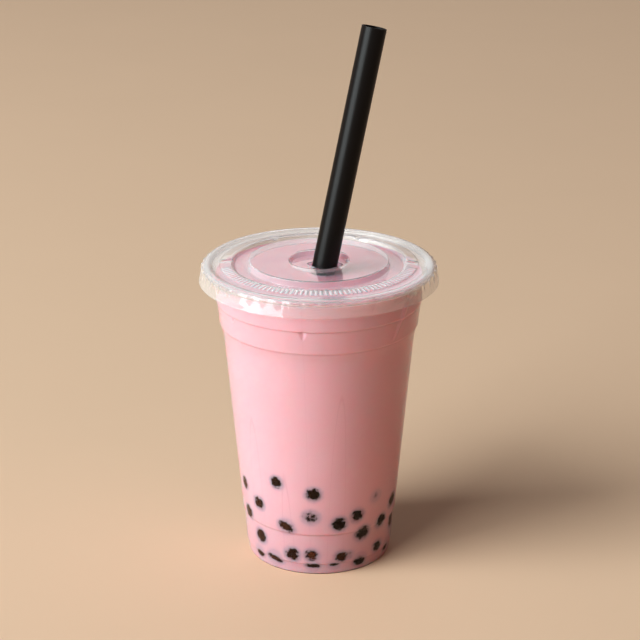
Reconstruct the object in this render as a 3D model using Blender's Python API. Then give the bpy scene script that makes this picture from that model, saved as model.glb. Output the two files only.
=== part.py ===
"""A tall iced milk tea in a clear plastic cup, with a clear flat lid and a wide black straw.

Units are metres and +Z is up. The origin is the centre of the cup's base, on the surface
that the cup stands on. The front of the drink looks along -Y.
"""

import math

import bmesh
import bpy
from mathutils import Matrix, Vector

MM = 0.001

# Clearances and tessellation
GAP = 0.3 * MM
ROUND_STEPS = 64
STRAW_STEPS = 32
SMOOTH_LIMIT = math.radians(28)

# Cup: outer radii and heights, from the foot up
CUP_WALL = 0.5 * MM
BASE_RECESS_HEIGHT = 1.2 * MM
BASE_RECESS_RADIUS = 27.3 * MM
FOOT_INNER_RADIUS = 28.8 * MM
FOOT_OUTER_RADIUS = 30.6 * MM
HEEL_RADIUS = 31.05 * MM
HEEL_HEIGHT = 0.5 * MM
FOOT_BAND_RADIUS = 31.75 * MM
FOOT_BAND_HEIGHT = 5.2 * MM
FOOT_BAND_STEP = 0.35 * MM
LOWER_WALL_RADIUS = 32.85 * MM
LOWER_WALL_HEIGHT = 18.9 * MM
LOWER_RING_STEP = 0.65 * MM
LOWER_RING_HEIGHT = 20.1 * MM
TAPER_TOP_RADIUS = 40.9 * MM
TAPER_TOP_HEIGHT = 101.5 * MM
SHOULDER_RADIUS = 42.45 * MM
SHOULDER_HEIGHT = 106.4 * MM
BAND_BEND_RADIUS = 42.75 * MM
BAND_BEND_HEIGHT = 109.5 * MM
NECK_RADIUS = 43.95 * MM
NECK_BOTTOM_HEIGHT = 116.6 * MM
NECK_TOP_HEIGHT = 121.5 * MM
MOUTH_RADIUS = 46.3 * MM
MOUTH_HEIGHT = 129.4 * MM
RIM_CENTRE_RADIUS = 47.6 * MM
RIM_CENTRE_HEIGHT = 130.2 * MM
RIM_RADIUS = 1.2 * MM
RIM_POINTS = 7

# Lid: radii and heights of the upper face, from the middle out
LID_WALL = 0.45 * MM
DISC_HEIGHT = 133.7 * MM
DISC_RADIUS = 29.2 * MM
DISC_FOOT_RADIUS = 30.5 * MM
DIMPLE_FLOOR_RADIUS = 11.5 * MM
DIMPLE_RADIUS = 12.6 * MM
DIMPLE_FLOOR_HEIGHT = 131.4 * MM
CHANNEL_HEIGHT = 130.8 * MM
CHANNEL_OUTER_RADIUS = 35.9 * MM
GRIP_INNER_RADIUS = 37.0 * MM
GRIP_INNER_HEIGHT = 133.0 * MM
GRIP_OUTER_RADIUS = 42.0 * MM
GRIP_OUTER_HEIGHT = 132.1 * MM
FLAT_HEIGHT = 131.8 * MM
FLAT_OUTER_RADIUS = 45.3 * MM
BEAD_TOP_INNER_RADIUS = 46.2 * MM
BEAD_TOP_OUTER_RADIUS = 48.7 * MM
BEAD_TOP_HEIGHT = 132.4 * MM
BEAD_RADIUS = 49.65 * MM
BEAD_HEIGHT = 131.4 * MM
BEAD_BOTTOM_HEIGHT = 129.6 * MM
SKIRT_RADIUS = 50.9 * MM
SKIRT_HEIGHT = 125.2 * MM

# Straw: a straight tube through the middle of the lid
STRAW_RADIUS = 5.3 * MM
STRAW_WALL = 0.4 * MM
STRAW_ENTRY_X = 2.5 * MM
STRAW_TOP_HEIGHT = 230.8 * MM
STRAW_END_HEIGHT = 13.0 * MM
STRAW_LEAN_RIGHT = 0.205
STRAW_LEAN_BACK = 0.114
LID_HOLE_CLEARANCE = 0.4 * MM

# Milk tea: filled to just under the lid
DRINK_LEVEL = 127.0 * MM


def clear_scene():
    for thing in list(bpy.data.objects):
        bpy.data.objects.remove(thing, do_unlink=True)


def make_material(name, colour, roughness, transmission=0.0):
    material = bpy.data.materials.new(name)
    material.use_nodes = True
    shader = material.node_tree.nodes["Principled BSDF"]
    shader.inputs["Base Color"].default_value = (*colour, 1.0)
    shader.inputs["Roughness"].default_value = roughness
    shader.inputs["Metallic"].default_value = 0.0
    shader.inputs["Transmission Weight"].default_value = transmission
    return material


def offset_outline(outline, distance):
    """The outline moved sideways, to the left of its direction, with its corners mitred."""
    points = [Vector(point) for point in outline]
    runs = [(b - a).normalized() for a, b in zip(points, points[1:])]
    sides = [Vector((-run.y, run.x)) for run in runs]
    moved = [points[0] + sides[0] * distance]
    for point, before, after in zip(points[1:], sides, sides[1:]):
        middle = (before + after).normalized()
        moved.append(point + middle * (distance / middle.dot(before)))
    moved.append(points[-1] + sides[-1] * distance)
    return [tuple(point) for point in moved]


def turned(name, outline, steps, closed=False):
    """A closed turned body: the outline (radius, height) swept once round Z.

    The outline runs down its outer side. One that is not closed starts and ends on the axis.
    """
    mesh = bpy.data.meshes.new(name)
    body = bpy.data.objects.new(name, mesh)
    bpy.context.collection.objects.link(body)
    shape = bmesh.new()
    points = [shape.verts.new((radius, 0.0, height)) for radius, height in outline]
    for start, end in zip(points, points[1:]):
        shape.edges.new((start, end))
    if closed:
        shape.edges.new((points[-1], points[0]))
    shape.to_mesh(mesh)
    shape.free()
    screw = body.modifiers.new("Turn", "SCREW")
    screw.axis = "Z"
    screw.steps = steps
    screw.render_steps = steps
    screw.use_merge_vertices = True
    screw.merge_threshold = 1e-6
    screw.use_normal_calculate = False
    return body


def cut_away(body, cutter):
    """Takes the cutter's volume out of the body and keeps the cutter as a hidden guide."""
    boolean = body.modifiers.new(f"Cut {cutter.name}", "BOOLEAN")
    boolean.operation = "DIFFERENCE"
    boolean.solver = "EXACT"
    boolean.object = cutter
    cutter.display_type = "WIRE"
    cutter.hide_render = True


def finish(body, material):
    """Applies the modifiers, shades the round faces smooth and gives the body its material."""
    graph = bpy.context.evaluated_depsgraph_get()
    shaped = bpy.data.meshes.new_from_object(body.evaluated_get(graph))
    body.modifiers.clear()
    body.data = shaped
    shaped.name = body.name
    shaped.materials.clear()
    shaped.materials.append(material)
    shaped.shade_smooth()
    shaped.set_sharp_from_angle(angle=SMOOTH_LIMIT)


def cup_outside():
    """Outer face of the cup from under the rim down to the middle of the base."""
    return [
        (MOUTH_RADIUS, MOUTH_HEIGHT),
        (NECK_RADIUS, NECK_TOP_HEIGHT),
        (NECK_RADIUS, NECK_BOTTOM_HEIGHT),
        (BAND_BEND_RADIUS, BAND_BEND_HEIGHT),
        (SHOULDER_RADIUS, SHOULDER_HEIGHT),
        (TAPER_TOP_RADIUS, TAPER_TOP_HEIGHT),
        (LOWER_WALL_RADIUS + LOWER_RING_STEP, LOWER_RING_HEIGHT),
        (LOWER_WALL_RADIUS, LOWER_WALL_HEIGHT),
        (FOOT_BAND_RADIUS + FOOT_BAND_STEP, FOOT_BAND_HEIGHT + FOOT_BAND_STEP),
        (FOOT_BAND_RADIUS, FOOT_BAND_HEIGHT),
        (HEEL_RADIUS, HEEL_HEIGHT),
        (FOOT_OUTER_RADIUS, 0.0),
        (FOOT_INNER_RADIUS, 0.0),
        (BASE_RECESS_RADIUS, BASE_RECESS_HEIGHT),
        (0.0, BASE_RECESS_HEIGHT),
    ]


def cup_inside():
    """Inner face of the cup, in the same order as its outer face."""
    return offset_outline(cup_outside(), -CUP_WALL)


def rim_arc():
    """The rolled rim, from its inner side over the top to its underside."""
    first, last = math.radians(150), math.radians(-110)
    arc = []
    for step in range(RIM_POINTS):
        angle = first + (last - first) * step / (RIM_POINTS - 1)
        radius = RIM_CENTRE_RADIUS + RIM_RADIUS * math.cos(angle)
        height = RIM_CENTRE_HEIGHT + RIM_RADIUS * math.sin(angle)
        arc.append((radius, height))
    return arc


def straw_axis():
    """Points on the straw's axis at its top and its lower end, and its direction."""
    lean = Vector((STRAW_LEAN_RIGHT, STRAW_LEAN_BACK, 1.0))
    entry = Vector((STRAW_ENTRY_X, 0.0, DIMPLE_FLOOR_HEIGHT))
    top = entry + lean * (STRAW_TOP_HEIGHT - entry.z)
    end = entry + lean * (STRAW_END_HEIGHT - entry.z)
    return top, end, lean.normalized()


def along_straw(body, start):
    """Stands the body on a point of the straw's axis, turned to the straw's lean."""
    direction = straw_axis()[2]
    turn = Vector((0.0, 0.0, 1.0)).rotation_difference(direction).to_matrix().to_4x4()
    body.matrix_world = Matrix.Translation(start) @ turn


def make_cup():
    outline = cup_inside()[::-1] + rim_arc() + cup_outside()
    body = turned("cup", outline, ROUND_STEPS)
    finish(body, make_material("clear_cup_plastic", (0.93, 0.94, 0.94), 0.05, 0.9))


def lid_face():
    """Upper face of the lid, from its middle out and down the skirt."""
    return [
        (0.0, DIMPLE_FLOOR_HEIGHT),
        (DIMPLE_FLOOR_RADIUS, DIMPLE_FLOOR_HEIGHT),
        (DIMPLE_RADIUS, DISC_HEIGHT),
        (DISC_RADIUS, DISC_HEIGHT),
        (DISC_FOOT_RADIUS, CHANNEL_HEIGHT),
        (CHANNEL_OUTER_RADIUS, CHANNEL_HEIGHT),
        (GRIP_INNER_RADIUS, GRIP_INNER_HEIGHT),
        (GRIP_OUTER_RADIUS, GRIP_OUTER_HEIGHT),
        (GRIP_OUTER_RADIUS + LID_WALL, FLAT_HEIGHT),
        (FLAT_OUTER_RADIUS, FLAT_HEIGHT),
        (BEAD_TOP_INNER_RADIUS, BEAD_TOP_HEIGHT),
        (BEAD_TOP_OUTER_RADIUS, BEAD_TOP_HEIGHT),
        (BEAD_RADIUS, BEAD_HEIGHT),
        (BEAD_RADIUS, BEAD_BOTTOM_HEIGHT),
        (SKIRT_RADIUS, SKIRT_HEIGHT),
    ]


def make_lid():
    face = lid_face()
    body = turned("lid", face + offset_outline(face, -LID_WALL)[::-1], ROUND_STEPS)
    top, end, _ = straw_axis()
    hole_radius = STRAW_RADIUS + LID_HOLE_CLEARANCE
    length = (top - end).length
    hole = turned(
        "guide_lid_hole",
        [(0.0, length), (hole_radius, length), (hole_radius, 0.0), (0.0, 0.0)],
        STRAW_STEPS,
    )
    along_straw(hole, end)
    cut_away(body, hole)
    finish(body, make_material("clear_lid_plastic", (0.92, 0.93, 0.93), 0.15, 0.9))


def make_straw():
    top, end, _ = straw_axis()
    length = (top - end).length
    bore = STRAW_RADIUS - STRAW_WALL
    section = [(bore, length), (STRAW_RADIUS, length), (STRAW_RADIUS, 0.0), (bore, 0.0)]
    body = turned("straw", section, STRAW_STEPS, closed=True)
    along_straw(body, end)
    finish(body, make_material("black_straw_plastic", (0.012, 0.013, 0.016), 0.35))


def drink_outline():
    """Half section of the drink: the cup's inside up to the level, a gap clear of the wall."""
    skin = offset_outline(cup_inside(), -GAP)
    for upper, lower in zip(skin, skin[1:]):
        if upper[1] >= DRINK_LEVEL > lower[1]:
            share = (DRINK_LEVEL - lower[1]) / (upper[1] - lower[1])
            edge = lower[0] + (upper[0] - lower[0]) * share
    below = [point for point in skin if point[1] < DRINK_LEVEL]
    return [(0.0, DRINK_LEVEL), (edge, DRINK_LEVEL)] + below


def make_drink():
    """The milk tea, with a groove round the straw's wall. The straw's bore stays full."""
    body = turned("milk_tea", drink_outline(), ROUND_STEPS)
    top, end, direction = straw_axis()
    length = (top - end).length + GAP
    inside = STRAW_RADIUS - STRAW_WALL - GAP
    outside = STRAW_RADIUS + GAP
    section = [(inside, length), (outside, length), (outside, 0.0), (inside, 0.0)]
    groove = turned("guide_straw_groove", section, STRAW_STEPS, closed=True)
    along_straw(groove, end - direction * GAP)
    cut_away(body, groove)
    finish(body, make_material("pink_milk_tea", (0.86, 0.45, 0.45), 0.4))


def main():
    clear_scene()
    make_cup()
    make_lid()
    make_straw()
    make_drink()


main()
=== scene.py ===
"""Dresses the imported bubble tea: a clear cup and lid, a black straw, pink milk tea and pearls.

Units are metres and +Z is up. Tables of outlines are in millimetres, as radius and height.
Azimuths are in degrees. On the lid they run from +X towards +Y, and for the pearls and the
cup's nubs they run from the front, -Y, with the right side positive.
"""

import math
import random

import bmesh
import bpy
from bpy.props import FloatProperty, FloatVectorProperty, IntProperty, PointerProperty
from mathutils import Matrix, Vector, noise


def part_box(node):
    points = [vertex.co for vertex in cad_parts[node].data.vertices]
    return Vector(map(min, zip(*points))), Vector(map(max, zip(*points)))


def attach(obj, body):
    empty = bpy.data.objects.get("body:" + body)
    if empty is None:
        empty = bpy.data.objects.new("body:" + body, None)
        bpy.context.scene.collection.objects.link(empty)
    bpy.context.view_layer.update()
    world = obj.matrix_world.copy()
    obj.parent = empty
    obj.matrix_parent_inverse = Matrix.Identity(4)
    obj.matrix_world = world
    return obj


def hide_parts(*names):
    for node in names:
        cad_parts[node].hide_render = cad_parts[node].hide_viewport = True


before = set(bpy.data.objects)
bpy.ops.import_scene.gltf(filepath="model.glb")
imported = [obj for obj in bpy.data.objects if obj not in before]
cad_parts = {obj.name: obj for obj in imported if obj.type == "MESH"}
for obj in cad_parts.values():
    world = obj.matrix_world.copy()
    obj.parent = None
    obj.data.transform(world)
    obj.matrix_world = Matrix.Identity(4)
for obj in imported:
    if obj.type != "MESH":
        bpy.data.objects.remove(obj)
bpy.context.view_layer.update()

bl_info = {
    "name": "Bubble Tea Maker",
    "version": (1, 0, 0),
    "blender": (4, 5, 0),
    "location": "View3D > Sidebar > Bubble Tea",
    "description": "Makes a pink milk tea with tapioca pearls in a clear cup with a lid and a straw",
    "category": "Object",
}

MM = 0.001
TURN = 2 * math.pi
DEGREE = math.radians(1)
SHARP = math.radians(50)

# Steps round each turned piece, which SECTORS divides. The lid's disc, inside DISC_SPLIT in mm,
# has fewer than the rest of the lid
SECTORS = 12
CUP_STEPS, LID_STEPS, STRAW_STEPS = 396, 756, 96
DISC_STEPS, DISC_SPLIT = 252, 32.0

# Outer face of the cup: radius, height and how far each corner is eased, from the base up
CUP_OUTSIDE = [
    (0.0, 1.2, 0.0),
    (27.3, 1.2, 0.9),
    (28.8, 0.0, 0.5),
    (30.6, 0.0, 0.35),
    (31.05, 0.5, 0.3),
    (31.65, 5.05, 0.1),
    (32.05, 5.45, 0.15),
    (32.85, 18.9, 0.3),
    (33.15, 19.6, 0.2),
    (33.5, 20.0, 0.2),
    (40.9, 101.5, 2.0),
    (42.1, 106.0, 0.15),
    (42.5, 106.45, 0.25),
    (42.8, 109.5, 2.0),
    (43.6, 116.2, 0.15),
    (43.98, 116.65, 0.25),
    (43.95, 121.5, 2.5),
    (46.3, 129.4, 0.0),
]
CUP_WALL = 0.5
ROLL_CENTRE, ROLL_SIZE, ROLL_START, ROLL_END = (47.6, 130.2), 1.2, 185, -115

# Heights of the creases under the rings, and how far up and down each one reaches
# Shade is painted into the cup's tint at these creases
CREASES, CREASE_REACH = (5.2, 19.7, 106.1, 116.3), 0.4

# Stacking nubs: azimuth, height of the top, length, width, how deep they are pressed in
# (negative is outwards), and how far the lower end lies to the side, in degrees
NUBS = [
    (-56.0, 116.3, 3.2, 2.6, 1.2, 0.0),
    (-9.0, 116.4, 3.6, 3.2, 0.9, 0.0),
    (55.5, 122.5, 15.0, 4.4, -1.0, -8.5),
    (124.0, 116.4, 3.6, 3.0, 1.2, 0.0),
    (170.0, 116.4, 3.6, 3.0, 1.2, 0.0),
    (-125.0, 116.4, 3.6, 3.0, 1.2, 0.0),
    (-52.0, 106.0, 2.2, 1.8, 0.7, 0.0),
    (126.0, 106.0, 2.2, 1.8, 0.7, 0.0),
]
# Nubs are pressed only into what lies above NUB_FLOOR and outside NUB_INNER, and their widths
# are measured at NUB_WALL from the axis
NUB_FLOOR, NUB_INNER, NUB_WALL = 100.0, 38.0, 43.0

# Size of the rows of faces, finer on the nubs, ribs and lugs and where pearls show
NUB_BAND, NUB_ROW, PLAIN_ROW = (101.0, 118.0), 0.8, 8.0
PEARL_BAND_TOP, PEARL_BAND_INNER, PEARL_ROW = 50.0, 28.0, 0.55
RIB_BAND, LUG_BAND_FROM, LID_ROW, LID_PLAIN_ROW = (37.0, 42.2), 127.0, 0.7, 4.0

# Upper face of the lid: radius, height and easing, from the dimple's floor out to the lip
LID_FACE = [
    (11.3, 131.4, 0.0),
    (11.7, 131.45, 0.3),
    (12.7, 133.65, 0.8),
    (29.75, 133.75, 0.5),
    (29.95, 130.85, 0.5),
    (35.7, 130.75, 0.8),
    (37.1, 132.9, 0.7),
    (42.0, 132.1, 0.3),
    (42.45, 131.8, 0.3),
    (45.0, 131.75, 0.6),
    (46.2, 132.25, 0.6),
    (47.5, 132.55, 0.7),
    (48.8, 132.15, 0.7),
    (49.6, 131.2, 0.6),
    (49.85, 129.9, 0.35),
    (50.55, 127.5, 0.9),
    (51.0, 125.5, 0.25),
    (51.1, 125.2, 0.0),
]
LID_WALL = 0.4

# Radius of the dimple, radii between which the disc is flat, and how uneven it is there
DIMPLE, DISC, DISC_WOBBLE = 12.0, (13.0, 29.0), 0.12

# Ribs on the ring inside the bead: their number of waves round the lid, the azimuths of the
# first and last, height, how much cloudier the crests are, and the radii of their ends
RIBS, RIB_FROM, RIB_TO, RIB_HEIGHT, RIB_FROST = 126, 190.0, 350.0, 0.36, 1.3
RIB_INNER, RIB_OUTER, RIB_FADE, RIB_FLOOR = (37.2, 39.4), (41.7, 42.3), 3.0, 131.9

# Notches across that ring: azimuths, width, depth, width of the slopes and radii of the ends
NOTCHES, NOTCH_WIDTH, NOTCH_DEPTH, NOTCH_EDGE = (0.0, 63.0, 121.0, 177.0), 2.2, 0.8, 0.35
NOTCH_INNER, NOTCH_OUTER = (36.3, 37.2), (41.6, 42.3)

# Lugs on the skirt: number, how far the row is turned as a share of a lug, top, tip, depth,
# and half the width at the tip and what the top adds to it, as shares of a lug
LUGS, LUG_TURN, LUG_TOP, LUG_BOTTOM, LUG_DEPTH = 50, 0.236, 131.2, 127.7, 0.6
LUG_TIP, LUG_SPREAD, SKIRT = 0.05, 0.21, 49.0

# How cloudy the lid is out to each radius: most at its bends and bead, least on flat sheet
LID_CLOUD = [
    *((11.6, 0.2), (12.8, 1.0), (29.3, 0.15), (30.6, 0.9), (36.0, 0.3)),
    *((37.4, 1.0), (42.3, 0.6), (45.3, 0.8), (49.2, 1.0), (60.0, 0.6)),
]

# Straw slot: its turn, half its width and half the angle of a flap, in degrees and mm. The
# flaps hang beside the straw, narrow by FLAP_TAPER of their width and stand in by FLAP_BEND
SLOT_TURN, SLOT_REACH, SLOT_SHARE, SLOT_ROWS = -50.0, 5.9, 38.0, 4
FLAP_LENGTH, FLAP_ROWS, FLAP_TAPER, FLAP_BEND = 6.0, 7, 0.93, 0.5

# Straw: its axis goes through STRAW_ENTRY along STRAW_LEAN
STRAW_ENTRY = Vector((2.5, 0.0, 131.4))
STRAW_LEAN = Vector((0.205, 0.114, 1.0))
STRAW_TOP, STRAW_END = 230.8, 13.0
STRAW_WALL, STRAW_LIP = 0.4, 0.12

# How far the drink and the pearls reach into the wall, so that no air gap shows
DRINK_REACH, PEARL_REACH = 0.12, 0.12

# How high the drink climbs at the cup and at the straw, and over what width
MENISCUS, MENISCUS_WIDTH = 1.0, 1.1
STRAW_CLIMB, STRAW_CLIMB_WIDTH, STRAW_HALF = 0.9, 0.9, 5.2

# Thickness of tea that covers a pearl by two thirds, and where pearls are looked for
FILM_DEPTH, FILM_TOP, FILM_INNER = 1.35, 52.0, 20.0

# Shade is painted on the drink beside the foot's recess, darkening it a little
FOOT_TOP, FOOT_SHADE_COVER = 5.2, 0.96

# Pearls against the wall: azimuth, height, half width and half height of the patch that
# touches the wall, its tilt, how much tea covers it, and how brown it is
PEARLS = [
    (-67, 35.9, 1.9, 2.2, 10, 0, 0.35),
    (-31, 43.7, 1.95, 2.2, 20, 0, 0.15),
    (-49, 30.3, 2.4, 2.2, 20, 0, 0.3),
    (-4, 40.1, 2.5, 2.2, -10, 0, 0.1),
    (-65, 22.5, 2.4, 2.4, 10, 0, 0.35),
    (-25, 22.8, 2.95, 1.6, -22, 0.05, 0.25),
    (-6, 28.8, 2.9, 2.1, 0, 0.85, 0.1),
    (15, 25.1, 2.5, 2.5, 0, 0, 0.05),
    (29, 27.8, 2.2, 2.3, 0, 0.2, 0.05),
    (45, 34.8, 1.2, 1.3, 0, 1.6, 0),
    (69, 27.2, 2.8, 2.2, 0, 0, 0.05),
    (54, 20.7, 2.4, 2.2, -15, 0, 0.05),
    (35, 18.3, 2.9, 2.4, 20, 0, 0.05),
    (75, 15.6, 2.4, 2.4, 0, 0, 0.05),
    (-51, 13.6, 2.5, 2.5, 30, 0.1, 0.3),
    (52, 8.3, 2.0, 1.7, 0, 0, 0.1),
    (67, 3.7, 1.9, 1.2, 10, 0, 0.1),
    (-54, 4.3, 2.0, 1.2, 0, 0, 0.2),
    (-37, 5.1, 3.6, 1.1, -10, 0, 0.3),
    (-21, 9.3, 2.5, 2.2, 0, 0, 0.15),
    (-6, 9.8, 2.6, 2.3, 0, 0.5, 0.7),
    (-5, 4.5, 2.7, 0.8, 0, 0, 0.1),
    (17.5, 8.4, 2.2, 1.8, 0, 0.05, 0.3),
    (23.5, 8.5, 1.2, 1.4, 0, 1.2, 0),
    (12, 4.8, 1.6, 0.6, 0, 0, 0.1),
    (34, 3.9, 2.4, 1.7, 0, 0, 0.05),
    (-88, 9.0, 2.4, 2.4, 0, 0.3, 0.2),
]
# Azimuths between which pearls are placed by a rule, how often a place is tried, and the
# wall's radius at the pearls
BACK_FROM, BACK_TO, BACK_TRIES, PEARL_WALL = 92.0, 266.0, 4000, 33.0

# Share of the window's light that the plastic mirrors
WINDOW_SHOWN = 0.7


class CupSettings(bpy.types.PropertyGroup):
    tint: FloatVectorProperty(
        name="Tint", description="Colour of the clear plastic",
        subtype="COLOR", min=0.0, max=1.0, default=(1.0, 1.0, 1.0),
    )
    roughness: FloatProperty(
        name="Roughness", description="How blurred the cup's reflections are",
        subtype="FACTOR", min=0.0, max=1.0, default=0.22,
    )


class LidSettings(bpy.types.PropertyGroup):
    haze: FloatProperty(
        name="Haze", description="Share of the light that the bead scatters at each face",
        subtype="FACTOR", min=0.0, max=0.3, default=0.16,
    )
    roughness: FloatProperty(
        name="Roughness", description="How blurred the lid's reflections are",
        subtype="FACTOR", min=0.0, max=1.0, default=0.04,
    )


class StrawSettings(bpy.types.PropertyGroup):
    diameter: FloatProperty(
        name="Diameter", description="Outer diameter of the straw",
        unit="LENGTH", min=0.004, max=0.011, default=0.0106,
    )
    colour: FloatVectorProperty(
        name="Colour", description="Colour of the straw",
        subtype="COLOR_GAMMA", min=0.0, max=1.0, default=(0.03, 0.03, 0.032),
    )


class DrinkSettings(bpy.types.PropertyGroup):
    level: FloatProperty(
        name="Level", description="Height of the drink's surface above the table",
        unit="LENGTH", min=0.06, max=0.129, default=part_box("milk_tea")[1].z,
    )
    colour: FloatVectorProperty(
        name="Colour", description="Colour of the milk tea",
        subtype="COLOR_GAMMA", min=0.0, max=1.0, default=(0.87, 0.703, 0.74),
    )


class PearlSettings(bpy.types.PropertyGroup):
    diameter: FloatProperty(
        name="Diameter", description="Diameter of a cooked pearl",
        unit="LENGTH", min=0.005, max=0.011, default=0.008,
    )
    back_count: IntProperty(
        name="Pearls at the back", description="Number of pearls against the back half of the wall",
        min=0, max=60, default=24,
    )
    seed: IntProperty(
        name="Seed", description="Starts the random places of the pearls at the back",
        min=0, default=7,
    )


class StageSettings(bpy.types.PropertyGroup):
    floor_colour: FloatVectorProperty(
        name="Floor colour", description="Colour of the plain floor",
        subtype="COLOR_GAMMA", min=0.0, max=1.0, default=(0.91, 0.778, 0.662),
    )
    key_power: FloatProperty(
        name="Window light", description="Strength of the large soft light at the front left",
        unit="POWER", min=0.0, default=158.0,
    )


def linear(colour):
    """An sRGB colour, as a hex value or as three shares, turned to linear RGBA."""
    if isinstance(colour, str):
        colour = [int(colour[i : i + 2], 16) / 255 for i in (1, 3, 5)]
    return (*(c / 12.92 if c <= 0.04045 else ((c + 0.055) / 1.055) ** 2.4 for c in colour), 1.0)


def smooth(value, low, high):
    """0 below low and 1 above high, with an eased ramp in between."""
    share = min(1.0, max(0.0, (value - low) / (high - low)))
    return share * share * (3 - 2 * share)


def eased(outline, steps=4, hold=0.0):
    """The outline with each corner rounded by its own easing, as plain points.

    With hold, each long run between two corners gets a point near both its ends, which keeps
    the run's shading flat.
    """
    points = [Vector(p[:2]) for p in outline]
    made = [points[0]]
    for i in range(1, len(points) - 1):
        before, here, after = points[i - 1 : i + 2]
        reach = min(outline[i][2], (before - here).length * 0.48, (after - here).length * 0.48)
        if reach <= 0:
            made.append(here)
            continue
        start = here + (before - here).normalized() * reach
        end = here + (after - here).normalized() * reach
        if hold and (before - here).length > 2 * reach + 4 * hold:
            made.append(start + (before - here).normalized() * hold)
        for step in range(steps + 1):
            t = step / steps
            made.append(start * (1 - t) ** 2 + here * 2 * t * (1 - t) + end * t**2)
        if hold and (after - here).length > 2 * reach + 4 * hold:
            made.append(end + (after - here).normalized() * hold)
    made.append(points[-1])
    return made


def spaced(points, step_at):
    """The outline with its long runs divided, to at most the step wanted at their height."""
    made = [points[0]]
    for start, end in zip(points, points[1:]):
        step = step_at(*((start + end) / 2))
        parts = max(1, math.ceil((end - start).length / step))
        made += [start.lerp(end, k / parts) for k in range(1, parts + 1)]
    return made


def offset(points, distance):
    """The outline moved sideways, to the left of its direction, with mitred corners."""
    runs = [(b - a).normalized() for a, b in zip(points, points[1:])]
    sides = [Vector((-run.y, run.x)) for run in runs]
    moved = [points[0] + sides[0] * distance]
    for point, before, after in zip(points[1:], sides, sides[1:]):
        middle = (before + after).normalized()
        moved.append(point + middle * (distance / middle.dot(before)))
    moved.append(points[-1] + sides[-1] * distance)
    return moved


def arc(centre, radius, start, end, steps):
    """Points on an arc, with its angles in degrees."""
    angles = [math.radians(start + (end - start) * k / steps) for k in range(steps + 1)]
    return [Vector(centre) + radius * Vector((math.cos(a), math.sin(a))) for a in angles]


def cup_rows(radius, height):
    """How finely the cup's face is divided: finest round the nubs."""
    return NUB_ROW if NUB_BAND[0] < height < NUB_BAND[1] else PLAIN_ROW


def drink_rows(radius, height):
    """How finely the drink's face is divided: finest where pearls show through it."""
    if radius > PEARL_BAND_INNER and height < PEARL_BAND_TOP:
        return PEARL_ROW
    return cup_rows(radius, height)


def along_wall(azimuth, other, radius):
    """Distance in mm between two azimuths, along a wall of a radius."""
    return abs((azimuth - other + 180) % 360 - 180) * DEGREE * radius


def nub_dent(azimuth, height):
    """How far in mm the stacking nubs press the wall in at a place, azimuth from the front."""
    dent = 0.0
    for middle, top, length, width, depth, slant in NUBS:
        down = (top - height) / length
        side = along_wall(azimuth - slant * down, middle, NUB_WALL)
        if side > width or not -0.3 < down < 1:
            continue
        half = width / 2 * (1 - 0.75 * max(0.0, down))
        across = 1 - smooth(side, half * 0.3, half)
        along = smooth((height - top) / 0.5, 1.0, 0.0) * math.sqrt(1 - max(0.0, down))
        dent += depth * across * along
    return dent


def front_azimuth(co):
    """Azimuth in degrees from the front, -Y, with +X on the positive side."""
    return math.degrees(math.atan2(co.x, -co.y))


def press_nubs(shape):
    """Presses the stacking nubs into a shape's wall."""
    for vert in shape.verts:
        height = vert.co.z / MM
        radius = vert.co.xy.length
        if height < NUB_FLOOR or radius < NUB_INNER * MM:
            continue
        dent = nub_dent(front_azimuth(vert.co), height) * MM
        vert.co.x -= vert.co.x / radius * dent
        vert.co.y -= vert.co.y / radius * dent


def spun(outline, steps, closed=False):
    """A bmesh of the outline in mm swept once round Z, with its seam and poles merged."""
    shape = bmesh.new()
    verts = [shape.verts.new((p.x * MM, 0.0, p.y * MM)) for p in outline]
    for start, end in zip(verts, verts[1:]):
        shape.edges.new((start, end))
    if closed:
        shape.edges.new((verts[-1], verts[0]))
    bmesh.ops.spin(
        shape, geom=shape.verts[:] + shape.edges[:], cent=(0, 0, 0), axis=(0, 0, 1),
        angle=TURN / SECTORS, steps=steps // SECTORS,
    )
    sector = shape.verts[:] + shape.edges[:] + shape.faces[:]
    for k in range(1, SECTORS):
        made = bmesh.ops.duplicate(shape, geom=sector)["geom"]
        bmesh.ops.rotate(
            shape, verts=[g for g in made if isinstance(g, bmesh.types.BMVert)],
            cent=(0, 0, 0), matrix=Matrix.Rotation(TURN * k / SECTORS, 3, "Z"),
        )
    bmesh.ops.remove_doubles(shape, verts=shape.verts, dist=1e-6)
    bmesh.ops.recalc_face_normals(shape, faces=shape.faces)
    return shape


def mesh_of(shape, name):
    """A bmesh turned into a mesh, and freed."""
    mesh = bpy.data.meshes.new(name)
    shape.to_mesh(mesh)
    shape.free()
    return mesh


def add_object(name, data):
    """A new object in the scene."""
    made = bpy.data.objects.new(name, data)
    bpy.context.scene.collection.objects.link(made)
    return made


def add_shape(shape, other):
    """Adds another bmesh to a bmesh and frees it."""
    mesh = mesh_of(other, "added")
    shape.from_mesh(mesh)
    bpy.data.meshes.remove(mesh)


def placed(shape, name, materials, node=None):
    """Turns a bmesh into a piece on the root body, standing for its CAD node with its slot."""
    mesh = mesh_of(shape, name)
    mesh.shade_smooth()
    mesh.set_sharp_from_angle(angle=SHARP)
    for material in materials:
        mesh.materials.append(material)
    piece = add_object(name, mesh)
    if node:
        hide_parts(node)
    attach(piece, "root")
    return piece


def thickened(piece, wall):
    """Gives a sheet its wall, on the side away from its normals, and applies it."""
    solid = piece.modifiers.new("Wall", "SOLIDIFY")
    solid.thickness = wall * MM
    solid.offset = -1.0
    solid.use_even_offset = True
    solid.use_rim = True
    graph = bpy.context.evaluated_depsgraph_get()
    walled = bpy.data.meshes.new_from_object(piece.evaluated_get(graph))
    walled.set_sharp_from_angle(angle=SHARP)
    piece.modifiers.clear()
    piece.data = walled
    walled.name = piece.name


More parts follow.
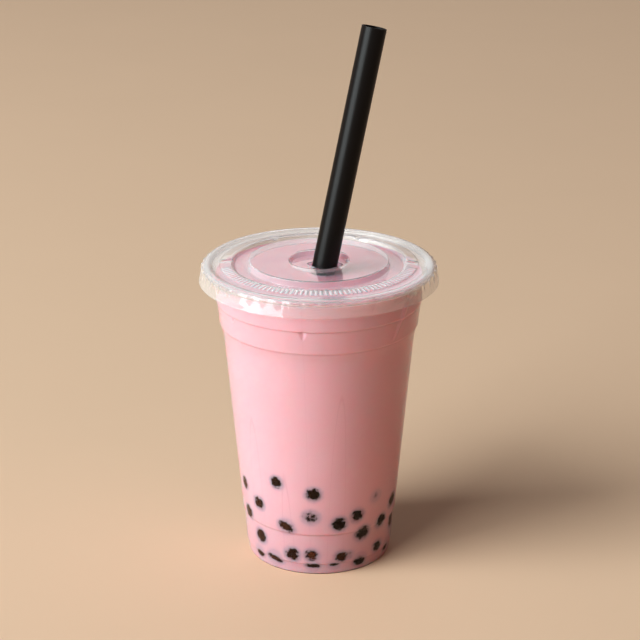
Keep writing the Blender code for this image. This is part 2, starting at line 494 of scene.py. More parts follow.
def straw_point(height):
    """The point on the straw's axis at a height, all in mm."""
    return STRAW_ENTRY + STRAW_LEAN * (height - STRAW_ENTRY.z)


def new_material(name):
    """An empty node material and its tree."""
    material = bpy.data.materials.new(name)
    material.use_nodes = True
    material.node_tree.nodes.clear()
    return material, material.node_tree


def add_node(tree, kind, values=None, links=None, **settings):
    """Adds a shader node, sets its properties and input values, and links its inputs.

    Each link comes from an output, or from a node, whose first output is then taken.
    """
    node = tree.nodes.new("ShaderNode" + kind)
    for name, value in settings.items():
        setattr(node, name, value)
    for name, value in (values or {}).items():
        node.inputs[name].default_value = value
    for name, source in (links or {}).items():
        output = source.outputs[0] if isinstance(source, bpy.types.Node) else source
        tree.links.new(output, node.inputs[name])
    return node


def finished(material, shader):
    """The material with its shader linked to its output."""
    add_node(material.node_tree, "OutputMaterial", links={"Surface": shader})
    return material


def shaded(colour, shares):
    """A linear colour with each channel times its share."""
    return (*(c * k for c, k in zip(colour, shares)), 1.0)


def object_place(tree, scale, turn=(0.0, 0.0, 0.0)):
    """Object coordinates, turned and scaled, for a pattern."""
    where = add_node(tree, "TexCoord").outputs["Object"]
    return add_node(tree, "Mapping", {"Rotation": turn, "Scale": scale}, {"Vector": where})


def height_of(tree):
    """Height above the table in metres."""
    where = add_node(tree, "TexCoord").outputs["Object"]
    return add_node(tree, "SeparateXYZ", links={0: where}).outputs["Z"]


def let_lamps_through(tree, plastic):
    """Clear plastic shades what it covers only a little, so light reaches what is behind."""
    path = add_node(tree, "LightPath").outputs
    either = add_node(
        tree, "Math", links={0: path["Is Shadow Ray"], 1: path["Is Diffuse Ray"]},
        operation="MAXIMUM",
    )
    clear = add_node(tree, "BsdfTransparent", {"Color": linear("#fafafa")})
    return add_node(tree, "MixShader", links={0: either, 1: plastic, 2: clear})


def thermoformed_clear_pet(settings):
    """Clear PET drawn from sheet: glass-like gloss, with faint upright lines from the draw."""
    material, tree = new_material("thermoformed_clear_pet")
    # Draw lines run nearly straight down the taper, about 20 mm apart
    round_about = add_node(
        tree, "VectorMath", links={0: object_place(tree, (1.0, 1.0, 0.0))}, operation="NORMALIZE",
    )
    place = add_node(
        tree, "VectorMath", {1: (3.2, 3.2, 3.2)},
        {0: round_about, 2: object_place(tree, (0.0, 0.0, 4.0))}, operation="MULTIPLY_ADD",
    )
    draw = add_node(tree, "TexNoise", {"Scale": 1.0, "Detail": 0.0}, {"Vector": place})
    from_middle = add_node(tree, "Math", {1: 0.5}, {0: draw}, operation="SUBTRACT")
    either_side = add_node(tree, "Math", links={0: from_middle}, operation="ABSOLUTE")
    lines = add_node(
        tree, "MapRange", {"From Max": 0.008, "To Min": 0.6, "To Max": 0.0}, {"Value": either_side},
    )
    # Painted shade darkens the tint in the creases under the rings, so they show as darker lines
    crease_shade = add_node(tree, "Attribute", attribute_name="painted_crease_shade")
    # The draw lines and the painted shade of the creases darken the tint together
    thick = add_node(tree, "Math", links={0: lines, 1: crease_shade.outputs["Fac"]}, operation="MAXIMUM")
    colour = add_node(
        tree, "Mix", {6: (*settings.tint, 1.0), 7: shaded(settings.tint, (0.8, 0.68, 0.7))},
        {0: thick}, data_type="RGBA",
    )
    relief = add_node(tree, "Bump", {"Strength": 0.3, "Distance": 0.05 * MM}, {"Height": lines})
    # PET's index is 1.57. A lower one gives the soft reflections of a thin drawn wall
    plastic = add_node(
        tree, "BsdfPrincipled",
        {
            "Roughness": settings.roughness, "IOR": 1.37,
            "Specular IOR Level": 0.3, "Transmission Weight": 1.0,
        },
        {"Base Color": colour.outputs[2], "Normal": relief},
    )
    return finished(material, let_lamps_through(tree, plastic))


def thermoformed_hazy_pet(settings):
    """Thin PET lid, stretched cloudy as it was formed: clear with a milky haze."""
    material, tree = new_material("thermoformed_hazy_pet")
    # The sheet thins unevenly over patches of about 8 mm
    place = object_place(tree, (125.0, 125.0, 125.0))
    patches = add_node(tree, "TexNoise", {"Scale": 1.0, "Detail": 3.0}, {"Vector": place})
    rough = add_node(
        tree, "MapRange", {"To Min": settings.roughness * 0.7, "To Max": settings.roughness * 1.3},
        {"Value": patches},
    )
    relief = add_node(tree, "Bump", {"Strength": 0.3, "Distance": 0.1 * MM}, {"Height": patches})
    # The bead and the crests of the ribs are stretched further, so they are cloudier
    cloud = add_node(tree, "Attribute", attribute_name="lid_haze")
    clear = add_node(
        tree, "MapRange", {"From Max": 3.0, "To Min": 1.0, "To Max": 1.0 - 3 * settings.haze},
        {"Value": cloud.outputs["Fac"]},
    )
    # Seen aslant, the sheet is longer to look through, so it looks cloudier
    aslant = add_node(tree, "LayerWeight", {"Blend": 0.5})
    length = add_node(
        tree, "MapRange", {"To Min": 0.6, "To Max": 2.8}, {"Value": aslant.outputs["Facing"]},
    )
    clear = add_node(tree, "Math", links={0: clear, 1: length}, operation="POWER")
    # As on the cup, the index is below that of PET, for soft reflections
    plastic = add_node(
        tree, "BsdfPrincipled",
        {"Base Color": linear("#f9f9fa"), "IOR": 1.38, "Specular IOR Level": 0.4},
        {"Transmission Weight": clear, "Roughness": rough, "Normal": relief},
    )
    return finished(material, let_lamps_through(tree, plastic))


def extruded_black_polypropylene(settings):
    """Polypropylene tube drawn through a die: satin black with fine lines along its length."""
    material, tree = new_material("extruded_black_polypropylene")
    upright = STRAW_LEAN.rotation_difference(Vector((0, 0, 1))).to_euler()
    # Die lines are about 0.1 mm apart. They are drawn 0.5 mm apart, so that they show
    place = object_place(tree, (2000.0, 2000.0, 8.0), turn=upright)
    lines = add_node(tree, "TexNoise", {"Scale": 1.0, "Detail": 3.0}, {"Vector": place})
    rough = add_node(tree, "MapRange", {"To Min": 0.28, "To Max": 0.38}, {"Value": lines})
    relief = add_node(tree, "Bump", {"Strength": 0.15, "Distance": 0.02 * MM}, {"Height": lines})
    plastic = add_node(
        tree, "BsdfPrincipled",
        {"Base Color": linear(settings.colour), "IOR": 1.49, "Specular IOR Level": 0.28},
        {"Roughness": rough, "Normal": relief},
    )
    return finished(material, plastic)


def stirred_milk_tea(settings, name, surface):
    """Milk tea with rose syrup: thick scattering pink, a little uneven from stirring."""
    material, tree = new_material(name)
    place = object_place(tree, (40.0, 40.0, 28.0))
    swirl = add_node(
        tree, "TexNoise", {"Scale": 1.0, "Detail": 3.0, "Distortion": 0.6}, {"Vector": place},
    )
    pink = linear(settings.colour)
    if surface:
        # Light goes to and fro between the drink and the lid, which deepens the pink there
        pink = shaded(pink, (1.18, 0.84, 0.91))
    deeper = shaded(pink, (0.985, 0.93, 0.94))
    colour = add_node(tree, "Mix", {6: deeper, 7: pink}, {0: swirl}, data_type="RGBA").outputs[2]
    # Shade is painted towards the bottom, so the pink is deeper there
    painted_low_shade = add_node(
        tree, "MapRange", {"From Min": 10 * MM, "From Max": 36 * MM, "To Min": 0.86},
        {"Value": height_of(tree)},
    )
    colour = add_node(tree, "VectorMath", links={0: colour, "Scale": painted_low_shade}, operation="SCALE")
    if not surface:
        # Thin tea over a dark pearl scatters blue first, so the rim of each pearl is grey-blue
        # Past each pearl's edge, the darkening is painted shade of the pearl in the tea
        cover = add_node(tree, "Attribute", attribute_name="tea_cover_and_painted_shade")
        # The cover is also lowered beside the foot, which paints a little shade there
        ramp = add_node(tree, "ValToRGB", links={"Fac": cover.outputs["Fac"]})
        stops = ramp.color_ramp.elements
        stops[0].position, stops[0].color = 0.0, linear("#33292a")
        stops[1].position, stops[1].color = 1.0, linear("#ffffff")
        for position, shade in (
            *((0.1, "#7d898c"), (0.34, "#bfced0"), (0.56, "#d6e4e8")),
            *((0.75, "#e2edf1"), (0.9, "#ecf3f7")),
        ):
            stops.new(position).color = linear(shade)
        colour = add_node(
            tree, "Mix", {0: 1.0}, {6: colour, 7: ramp}, data_type="RGBA", blend_type="MULTIPLY",
        ).outputs[2]
    liquid = add_node(
        tree, "BsdfPrincipled",
        {
            "Roughness": 0.5, "IOR": 1.34, "Specular IOR Level": 0.0, "Subsurface Weight": 1.0,
            "Subsurface Radius": (4.0, 0.6, 0.5), "Subsurface Scale": 1.2 * MM,
        },
        {"Base Color": colour}, subsurface_method="RANDOM_WALK",
    )
    if surface:
        liquid.inputs["Specular IOR Level"].default_value = 0.15
        liquid.inputs["Roughness"].default_value = 0.08
    return finished(material, liquid)


def boiled_tapioca():
    """Tapioca boiled in dark sugar: near-black gel, with some brown in lumps, more on some pearls
    than on others.
    """
    material, tree = new_material("boiled_tapioca")
    # Lumps of gel about 2 mm across
    place = object_place(tree, (500.0, 500.0, 500.0))
    lumps = add_node(tree, "TexNoise", {"Scale": 1.0, "Detail": 2.0}, {"Vector": place})
    brown = add_node(tree, "Attribute", attribute_name="pearl_brown")
    share = add_node(tree, "Math", links={0: brown.outputs["Fac"], 1: lumps}, operation="MULTIPLY")
    colour = add_node(
        tree, "Mix", {6: linear("#100805"), 7: linear("#7f4529")}, {0: share}, data_type="RGBA",
    )
    gel = add_node(
        tree, "BsdfPrincipled", {"Roughness": 0.5, "IOR": 1.38, "Specular IOR Level": 0.0},
        {"Base Color": colour.outputs[2]},
    )
    return finished(material, gel)


def matt_painted_board(colour):
    """Smooth board with matt paint: plain and pale, with a faint unevenness of the coat."""
    material, tree = new_material("matt_painted_board")
    place = object_place(tree, (9.0, 9.0, 9.0))
    coat = add_node(tree, "TexNoise", {"Scale": 1.0, "Detail": 5.0}, {"Vector": place})
    pale = linear(colour)
    mixed = add_node(
        tree, "Mix", {6: shaded(pale, (0.97, 0.97, 0.97)), 7: pale}, {0: coat}, data_type="RGBA",
    )
    board = add_node(tree, "BsdfPrincipled", {"Roughness": 0.7}, {"Base Color": mixed.outputs[2]})
    return finished(material, board)


def lid_azimuth(co):
    """Azimuth in degrees from +X towards +Y, from 0 to 360."""
    return math.degrees(math.atan2(co.y, co.x)) % 360


def lid_relief(radius, azimuth, height):
    """What the ribs, notches and lugs add to the lid: outwards and upwards in mm, and haze."""
    out, up, frost = 0.0, 0.0, 0.0
    if RIB_INNER[0] < radius < RIB_OUTER[1] and height > RIB_FLOOR:
        along = smooth(radius, *RIB_INNER) * (1 - smooth(radius, *RIB_OUTER))
        first = smooth(azimuth, RIB_FROM, RIB_FROM + RIB_FADE)
        ends = first * (1 - smooth(azimuth, RIB_TO - RIB_FADE, RIB_TO))
        wave = 0.5 + 0.5 * math.cos(math.radians(azimuth) * RIBS)
        up += RIB_HEIGHT * wave * along * ends
        frost = RIB_FROST * wave * along * ends
    if NOTCH_INNER[0] < radius < NOTCH_OUTER[1]:
        across = smooth(radius, *NOTCH_INNER) * (1 - smooth(radius, *NOTCH_OUTER))
        for middle in NOTCHES:
            side = along_wall(azimuth, middle, radius)
            half = NOTCH_WIDTH / 2
            up -= NOTCH_DEPTH * across * (1 - smooth(side, half - NOTCH_EDGE, half))
    if radius > SKIRT and LUG_BOTTOM < height < LUG_TOP + 0.4:
        down = (LUG_TOP - height) / (LUG_TOP - LUG_BOTTOM)
        place = abs((azimuth * LUGS / 360 - LUG_TURN) % 1 - 0.5)
        half = LUG_TIP + LUG_SPREAD * math.sqrt(1 - max(0.0, down))
        cone = math.sqrt(max(0.0, 1 - (place / half) ** 2))
        out += LUG_DEPTH * cone * (1 - max(0.0, down)) * smooth(down, -0.1, 0.02)
    return out, up, frost


def lid_cloud(radius):
    """How cloudy the lid is at a radius in mm, eased between the values of LID_CLOUD."""
    cloud = LID_CLOUD[0][1]
    for (edge, _), (_, value) in zip(LID_CLOUD, LID_CLOUD[1:]):
        cloud += (value - cloud) * smooth(radius, edge - 0.3, edge + 0.3)
    return cloud


def lid_rows(radius, height):
    """How finely the lid's outline is divided: finest at the ribs and lugs."""
    ribs = RIB_BAND[0] < radius < RIB_BAND[1]
    return LID_ROW if ribs or (radius > SKIRT and height > LUG_BAND_FROM) else LID_PLAIN_ROW


def slot_edge(angle):
    """How far the opened slot reaches from the straw's axis at an angle in degrees."""
    turned = math.radians(angle - SLOT_TURN)
    square = abs(math.cos(turned)) ** 8 + abs(math.sin(turned)) ** 8
    return SLOT_REACH * square ** (-1 / 8)


def open_slot(shape):
    """Carries the dimple's floor in to the opened slot, and hangs the four flaps in it."""
    rim = [e for e in shape.edges if e.is_boundary and e.verts[0].co.xy.length < DIMPLE * MM]
    floor = STRAW_ENTRY.z
    centre = straw_point(floor)
    for row in range(SLOT_ROWS):
        made = bmesh.ops.extrude_edge_only(shape, edges=rim)["geom"]
        rim = [g for g in made if isinstance(g, bmesh.types.BMEdge)]
        for vert in {v for e in rim for v in e.verts}:
            out = Vector((vert.co.x / MM - centre.x, vert.co.y / MM - centre.y))
            edge = slot_edge(math.degrees(math.atan2(out.y, out.x)))
            reach = out.length + (edge - out.length) / (SLOT_ROWS - row)
            target = out.normalized() * reach
            vert.co = Vector((centre.x + target.x, centre.y + target.y, floor)) * MM
    down = -STRAW_LEAN.normalized()
    for side in range(4):
        hinge = SLOT_TURN + 90 * side
        facing = Vector((math.cos(math.radians(hinge)), math.sin(math.radians(hinge)), 0))
        along = Vector((-facing.y, facing.x, 0))
        middle = centre + facing * SLOT_REACH
        edges = []
        for edge in rim:
            mid = (edge.verts[0].co + edge.verts[1].co) / 2 / MM - centre
            angle = math.degrees(math.atan2(mid.y, mid.x)) - hinge
            if abs((angle + 180) % 360 - 180) < SLOT_SHARE:
                edges.append(edge)
        for row in range(1, FLAP_ROWS + 1):
            share = row / FLAP_ROWS
            made = bmesh.ops.extrude_edge_only(shape, edges=edges)["geom"]
            edges = [g for g in made if isinstance(g, bmesh.types.BMEdge)]
            last = 1 - (row - 1) / FLAP_ROWS * FLAP_TAPER
            now = 1 - share * FLAP_TAPER
            drop = FLAP_LENGTH * share
            bend = FLAP_BEND * smooth(share, 0, 0.25)
            for vert in {v for e in edges for v in e.verts}:
                wide = (vert.co / MM - middle).dot(along) * now / last
                place = middle - facing * bend + along * wide + down * drop
                vert.co = place * MM
    bmesh.ops.remove_doubles(shape, verts=shape.verts, dist=1e-6)


def disc_wobble(azimuth, radius):
    """How far in mm the lid's thin disc stands up or down at a place."""
    a = math.radians(azimuth)
    place = Vector((2.2 * math.cos(a), 2.2 * math.sin(a), radius / 22))
    return DISC_WOBBLE * noise.noise(place)


class TEA_OT_cup(bpy.types.Operator):
    """Makes the clear tapered cup with its rolled rim, rings and stacking nubs"""

    bl_idname = "bubble_tea.cup"
    bl_label = "Make the cup"

    def execute(self, context):
        outside = spaced(eased(CUP_OUTSIDE), cup_rows)
        inside = offset(outside, CUP_WALL)
        roll_in = arc(ROLL_CENTRE, ROLL_SIZE - CUP_WALL, ROLL_START, ROLL_END, 14)
        roll_out = arc(ROLL_CENTRE, ROLL_SIZE, ROLL_END, ROLL_START, 18)
        shape = spun(outside + roll_in + roll_out + inside[::-1], CUP_STEPS)
        # Painted shade: how much the tint darkens in the creases under the rings
        crease_shade = shape.verts.layers.float.new("painted_crease_shade")
        for vert in shape.verts:
            near = min(abs(vert.co.z / MM - ring) for ring in CREASES)
            vert[crease_shade] = max(0.0, 1 - near / CREASE_REACH)
        press_nubs(shape)
        placed(shape, "clear_cup", [thermoformed_clear_pet(context.scene.tea_cup)], "cup")
        return {"FINISHED"}


class TEA_OT_lid(bpy.types.Operator):
    """Makes the hazy flat lid with its ribs, notches, lugs and opened straw slot"""

    bl_idname = "bubble_tea.lid"
    bl_label = "Make the lid"

    def execute(self, context):
        disc = [p for p in spaced(eased(LID_FACE, 4, 0.15), lid_rows) if p.x < DISC_SPLIT]
        outer = [p for p in spaced(eased(LID_FACE, 2), lid_rows) if p.x > DISC_SPLIT]
        shape = spun(outer, LID_STEPS)
        add_shape(shape, spun(disc, DISC_STEPS))
        open_rims = [
            edge
            for edge in shape.edges
            if edge.is_boundary and abs(edge.verts[0].co.xy.length / MM - DISC_SPLIT) < 5
        ]
        bmesh.ops.bridge_loops(shape, edges=open_rims)
        haze = shape.verts.layers.float.new("lid_haze")
        for vert in shape.verts:
            radius = vert.co.xy.length
            azimuth = lid_azimuth(vert.co)
            out, up, frost = lid_relief(radius / MM, azimuth, vert.co.z / MM)
            vert[haze] = lid_cloud(radius / MM) + frost
            if DISC[0] * MM < radius < DISC[1] * MM:
                up += disc_wobble(azimuth, radius / MM)
            vert.co.x += vert.co.x / radius * out * MM
            vert.co.y += vert.co.y / radius * out * MM
            vert.co.z += up * MM
        open_slot(shape)
        bmesh.ops.recalc_face_normals(shape, faces=shape.faces)
        top = max(shape.faces, key=lambda face: face.calc_center_median().z)
        if top.normal.z < 0:
            bmesh.ops.reverse_faces(shape, faces=shape.faces)
        material = thermoformed_hazy_pet(context.scene.tea_lid)
        lid = placed(shape, "clear_lid", [material], "lid")
        thickened(lid, LID_WALL)
        return {"FINISHED"}


class TEA_OT_straw(bpy.types.Operator):
    """Makes the wide black straw, a tube with eased lips"""

    bl_idname = "bubble_tea.straw"
    bl_label = "Make the straw"

    def execute(self, context):
        settings = context.scene.tea_straw
        outer = settings.diameter / MM / 2
        inner = outer - STRAW_WALL
        length = (straw_point(STRAW_TOP) - straw_point(STRAW_END)).length
        lip = STRAW_LIP
        section = [
            (inner, length / 2, 0),
            (inner, length, lip),
            (outer, length, lip),
            (outer, 0.0, lip),
            (inner, 0.0, lip),
            (inner, length / 2 - 0.001, 0),
        ]
        shape = spun(eased(section)[:-1], STRAW_STEPS, closed=True)
        turn = Vector((0, 0, 1)).rotation_difference(STRAW_LEAN).to_matrix().to_4x4()
        move = Matrix.Translation(straw_point(STRAW_END) * MM)
        bmesh.ops.transform(shape, matrix=move @ turn, verts=shape.verts)
        placed(shape, "black_straw", [extruded_black_polypropylene(settings)], "straw")
        return {"FINISHED"}


def drink_skin():
    """The drink's face against the cup, a little inside its wall, from the base up, in mm."""
    outside = []
    for lower, upper in zip(CUP_OUTSIDE, CUP_OUTSIDE[1:]):
        outside.append(lower)
        if lower[1] < PEARL_BAND_TOP < upper[1]:
            share = (PEARL_BAND_TOP - lower[1]) / (upper[1] - lower[1])
            outside.append((lower[0] + (upper[0] - lower[0]) * share, PEARL_BAND_TOP, 0.0))
    outside.append(CUP_OUTSIDE[-1])
    return offset(spaced(eased(outside), drink_rows), CUP_WALL - DRINK_REACH)


def skin_radius(skin, height):
    """Radius of the drink's face at a height, in mm."""
    for lower, upper in zip(skin, skin[1:]):
        if lower.y <= height <= upper.y and upper.y > lower.y:
            share = (height - lower.y) / (upper.y - lower.y)
            return lower.x + (upper.x - lower.x) * share
    return skin[-1].x


def apart(one, other):
    """Distance in mm between the places of two pearls, along the wall."""
    return math.hypot(along_wall(one[0], other[0], PEARL_WALL), one[1] - other[1])


class Pearl:
    """One pearl: where it sits, and how its face lies against the wall."""

    def __init__(self, index, row, places, skin, size):
        self.azimuth, self.height, self.half_width, self.half_height = row[:4]
        self.tilt = math.radians(row[4])
        self.cover, self.brown = row[5:]
        self.index = index
        self.radius = size / 2 * (0.95 + 0.1 * ((index * 37) % 11) / 10)
        for k, other in enumerate(places):
            gap = apart(row, other)
            if k != index and gap < 2 * self.radius:
                self.radius = max(3.1, gap / 2 * 1.05)
        self.floor = skin[0].y
        centre_height = max(self.height, self.floor + self.radius * 0.97)
        wall = skin_radius(skin, centre_height)
        self.wall_here = skin_radius(skin, self.height)
        patch = min(0.95 * self.radius, 1.3 * max(self.half_width, self.half_height))
        reach = math.sqrt(self.radius**2 - patch**2)
        distance = min(wall, self.wall_here) - reach
        a = math.radians(self.azimuth)
        self.outward = Vector((math.sin(a), -math.cos(a), 0))
        self.centre = self.outward * distance + Vector((0, 0, centre_height))

    def reach(self, co):
        """How far the pearl's face stands past the drink's face at a place, in mm."""
        side = (front_azimuth(co) - self.azimuth + 180) % 360 - 180
        across = math.radians(side) * self.wall_here
        rise = co.z - self.height
        c, s = math.cos(self.tilt), math.sin(self.tilt)
        u = (across * c + rise * s) / self.half_width
        v = (rise * c - across * s) / self.half_height
        seed = Vector((self.index * 7.3, self.index * 3.1, 0))
        rough = 1.3 * noise.noise(co / 1.5 + seed) + 0.8 * noise.noise(co / 0.7 + seed)
        inside = 1 - (u * u + v * v) + rough - self.cover
        return min(PEARL_REACH, 0.2 * inside) if inside > 0 else max(-2.4, 0.7 * inside)

    def film(self, co):
        """Thickness in mm of the tea between the drink's face and the pearl, or None."""
        outward = Vector((co.x, co.y, 0)).normalized()
        away = co - self.centre
        depth = away.dot(outward)
        aside = math.sqrt(max(0.0, away.length_squared - depth * depth))
        edge = 0.95 * self.radius
        if depth < 0 or aside > 1.7 * self.radius:
            return None
        gap = depth - math.sqrt(self.radius**2 - min(aside, edge) ** 2)
        sunk = max(0.0, -self.reach(co))
        # Past the pearl's edge the value grows with distance, which paints shade round the pearl
        return sunk + max(0.0, gap) + 1.8 * max(0.0, aside - edge)


def all_pearls(settings, skin):
    """Every pearl against the wall: those of the photo's side, then the back's by a rule."""
    size = settings.diameter / MM
    draw = random.Random(settings.seed)
    places = list(PEARLS)
    for _ in range(BACK_TRIES):
        if len(places) == len(PEARLS) + settings.back_count:
            break
        azimuth = draw.uniform(BACK_FROM, BACK_TO)
        height = 3.8 + 40 * draw.random() ** 1.6
        half = draw.uniform(1.9, 3.1)
        row = (azimuth, height, half, half * draw.uniform(0.75, 1.1))
        row += tuple(draw.uniform(*span) for span in ((-30, 30), (-0.2, 0.5), (0, 0.4)))
        if all(apart(row, other) >= size * 0.95 for other in places):
            places.append(row)
    return [Pearl(i, row, places, skin, size) for i, row in enumerate(places)]


class TEA_OT_milk_tea(bpy.types.Operator):
    """Makes the pink drink up to its level, reaching just into the cup's wall"""

    bl_idname = "bubble_tea.milk_tea"
    bl_label = "Make the milk tea"

    def execute(self, context):
        settings = context.scene.tea_drink
        level = settings.level / MM
        skin = drink_skin()
        wet = [p for p in skin if p.y < level + MENISCUS]
        edge = wet[-1].x
        top = [
            Vector((edge - back, level + MENISCUS * math.exp(-back / MENISCUS_WIDTH)))
            for back in (0.3, 0.6, 1.0, 1.5, 2.2, 3.2, 5.0)
        ]
        radii = (36, 28, 20, 14, 11, 9, 8, 7.5, 7, 6.6, 6.3, 6, 5.7, 5.4, 5, 4.5, 4, 3, 1.5, 0)
        top += [Vector((radius, level)) for radius in radii]
        shape = spun(wet + top, CUP_STEPS)
        press_nubs(shape)
        middle = straw_point(level)
        for vert in shape.verts:
            if vert.co.z / MM > level - 0.5 and vert.co.xy.length < 30 * MM:
                aside = max(0.0, (vert.co / MM - middle).xy.length - STRAW_HALF)
                vert.co.z += STRAW_CLIMB * MM * math.exp(-aside / STRAW_CLIMB_WIDTH)
        for face in shape.faces:
            here = face.calc_center_median() / MM
            face.material_index = int(here.z > level - 0.1 and here.xy.length < edge - 0.2)
        cover = shape.verts.layers.float.new("tea_cover_and_painted_shade")
        pearls = all_pearls(context.scene.tea_pearls, skin)
        for vert in shape.verts:
            co = vert.co / MM
            # Painted shade darkens the drink a little beside the foot's recess
            vert[cover] = 1.0 if co.z > FOOT_TOP else FOOT_SHADE_COVER
            if co.z > FILM_TOP or co.xy.length < FILM_INNER:
                continue
            # Pearls lower the cover: tea over them, and painted shade past their edges
            for pearl in pearls:
                if abs(co.z - pearl.centre.z) < 1.7 * pearl.radius:
                    film = pearl.film(co)
                    if film is not None:
                        vert[cover] = min(vert[cover], 1 - math.exp(-film / FILM_DEPTH))
        bmesh.ops.recalc_face_normals(shape, faces=shape.faces)
        materials = [
            stirred_milk_tea(settings, "milk_tea_against_plastic", False),
            stirred_milk_tea(settings, "milk_tea_surface", True),
        ]
        placed(shape, "pink_milk_tea", materials, "milk_tea")
        return {"FINISHED"}


def ball_mesh(cuts):
    """A ball of radius 1 whose cap towards +X is divided more finely, cuts times over."""
    ball = bmesh.new()
    bmesh.ops.create_icosphere(ball, subdivisions=4, radius=1.0)
    for limit in (0.66, 0.7)[:cuts]:
        facing = {v for v in ball.verts if v.co.normalized().x > limit}
        edges = [e for e in ball.edges if facing.issuperset(e.verts)]
        bmesh.ops.subdivide_edges(ball, edges=edges, cuts=1, use_grid_fill=True)
    return mesh_of(ball, "ball")


class TEA_OT_pearls(bpy.types.Operator):
    """Makes the tapioca pearls that lie against the cup's wall"""

    bl_idname = "bubble_tea.pearls"
    bl_label = "Make the pearls"

    def execute(self, context):
        skin = drink_skin()
        shape = bmesh.new()
        brown = shape.verts.layers.float.new("pearl_brown")
        balls = [ball_mesh(1), ball_mesh(2)]
        for pearl in all_pearls(context.scene.tea_pearls, skin):
            count = len(shape.verts)
            shape.from_mesh(balls[abs(pearl.azimuth) < BACK_FROM])
            shape.verts.ensure_lookup_table()
            turn = Vector((1, 0, 0)).rotation_difference(pearl.outward)
            for vert in shape.verts[count:]:
                spoke = turn @ vert.co.normalized()
                lump = 1 + 0.025 * noise.noise(spoke * 1.8 + Vector((pearl.index, 0, 0)))
                co = pearl.centre + spoke * pearl.radius * lump
                co.z = max(co.z, pearl.floor + 0.05)
                radius = co.xy.length
                most = skin_radius(skin, co.z) + pearl.reach(co)
                if radius > most:
                    co.x *= most / radius
                    co.y *= most / radius
                vert.co = co * MM
                vert[brown] = pearl.brown
        for ball in balls:
            bpy.data.meshes.remove(ball)
        bmesh.ops.recalc_face_normals(shape, faces=shape.faces)
        placed(shape, "tapioca_pearls", [boiled_tapioca()])
        return {"FINISHED"}


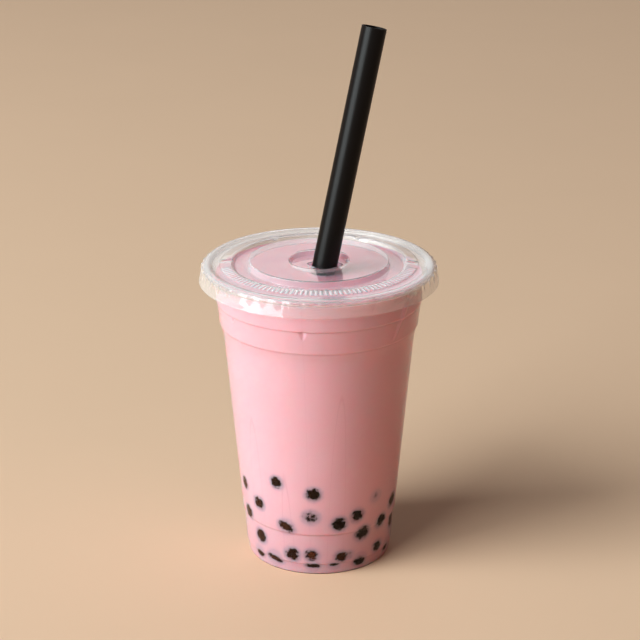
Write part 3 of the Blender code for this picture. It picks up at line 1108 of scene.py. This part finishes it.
class TEA_OT_stage(bpy.types.Operator):
    """Makes the plain floor, the soft lights and the camera"""

    bl_idname = "bubble_tea.stage"
    bl_label = "Make the stage"

    def execute(self, context):
        settings = context.scene.tea_stage
        scene = context.scene
        shape = bmesh.new()
        bmesh.ops.create_circle(shape, cap_ends=True, segments=96, radius=8.0)
        mesh = mesh_of(shape, "floor")
        mesh.materials.append(matt_painted_board(settings.floor_colour))
        floor = add_object("floor", mesh)
        target = Vector((0, 0, 0.09))
        # Part of the window's light stays out of reflections, to keep the plastic's gloss soft
        shown = settings.key_power * WINDOW_SHOWN
        unshown = settings.key_power - shown
        # Daylight is cool, and what comes back low from the front right is warm
        cool, warm = (0.89, 0.98, 1.0), (1.0, 0.32, 0.22)
        for name, azimuth, rise, distance, width, height, power, colour, mirrored in (
            ("window", -56, 28, 3.0, 2.65, 2.95, shown, cool, True),
            ("window_unshown", -68, 28, 3.0, 1.6, 2.95, unshown, cool, False),
            ("far_wall", 157, 34, 3.0, 4.2, 2.0, 12.0, cool, True),
            ("front_right_wall", 38, 8, 3.0, 2.0, 1.2, 7.5, warm, False),
            ("ceiling", 0, 89, 2.6, 4.0, 4.0, 2.5, cool, True),
        ):
            data = bpy.data.lights.new(name, "AREA")
            data.shape = "RECTANGLE"
            data.size, data.size_y = width, height
            data.energy = power
            data.color = colour
            lamp = add_object(name, data)
            lamp.visible_glossy = mirrored
            a, e = math.radians(azimuth), math.radians(rise)
            out = Vector((math.sin(a) * math.cos(e), -math.cos(a) * math.cos(e), math.sin(e)))
            lamp.location = target + out * distance
            lamp.rotation_euler = out.to_track_quat("Z", "Y").to_euler()
        # The room is dim, but pale where light has gone on through the clear plastic
        world = bpy.data.worlds.new("soft_room")
        world.use_nodes = True
        tree = world.node_tree
        back = tree.nodes["Background"]
        back.inputs["Color"].default_value = (1.0, 0.8, 0.7, 1.0)
        path = add_node(tree, "LightPath").outputs
        depth = path["Is Glossy Ray"]
        for operation, other in (("MAXIMUM", "Is Transmission Ray"), ("MULTIPLY", "Ray Depth")):
            depth = add_node(tree, "Math", links={0: depth, 1: path[other]}, operation=operation)
        deep = add_node(tree, "Math", {1: 1.5}, {0: depth}, operation="GREATER_THAN")
        strength = add_node(tree, "MapRange", {"To Min": 0.03, "To Max": 0.55}, {"Value": deep})
        tree.links.new(strength.outputs["Result"], back.inputs["Strength"])
        scene.world = world
        scene.view_settings.view_transform = "Standard"
        scene.view_settings.look = "Medium High Contrast"
        # The view is fitted to the ellipses of the photographed cup's rings and lid
        data = bpy.data.cameras.new("camera")
        data.lens = 112.5
        data.sensor_width = 36
        data.clip_end = 50
        camera = add_object("camera", data)
        camera.location = (0.00043, -0.8045, 0.4046)
        camera.rotation_euler = (math.radians(69.64), 0, 0)
        scene.camera = camera
        return {"FINISHED"}


class TEA_PT_panel(bpy.types.Panel):
    """Lists the makers of the bubble tea's pieces with their settings"""

    bl_idname = "TEA_PT_panel"
    bl_label = "Bubble Tea"
    bl_space_type = "VIEW_3D"
    bl_region_type = "UI"
    bl_category = "Bubble Tea"

    def draw(self, context):
        for maker, settings, _ in MAKERS:
            box = self.layout.box()
            box.operator(maker.bl_idname)
            group = getattr(context.scene, settings)
            for name in group.bl_rna.properties.keys():
                if name not in ("rna_type", "name"):
                    box.prop(group, name)


MAKERS = [
    (TEA_OT_cup, "tea_cup", CupSettings),
    (TEA_OT_lid, "tea_lid", LidSettings),
    (TEA_OT_straw, "tea_straw", StrawSettings),
    (TEA_OT_milk_tea, "tea_drink", DrinkSettings),
    (TEA_OT_pearls, "tea_pearls", PearlSettings),
    (TEA_OT_stage, "tea_stage", StageSettings),
]


def register():
    for maker, settings, group in MAKERS:
        bpy.utils.register_class(group)
        setattr(bpy.types.Scene, settings, PointerProperty(type=group))
        bpy.utils.register_class(maker)
    bpy.utils.register_class(TEA_PT_panel)


def unregister():
    bpy.utils.unregister_class(TEA_PT_panel)
    for maker, settings, group in reversed(MAKERS):
        bpy.utils.unregister_class(maker)
        delattr(bpy.types.Scene, settings)
        bpy.utils.unregister_class(group)


def main():
    """Makes every piece and the stage."""
    register()
    for maker in ("cup", "lid", "straw", "milk_tea", "pearls", "stage"):
        getattr(bpy.ops.bubble_tea, maker)()


if __name__ == "__main__":
    main()
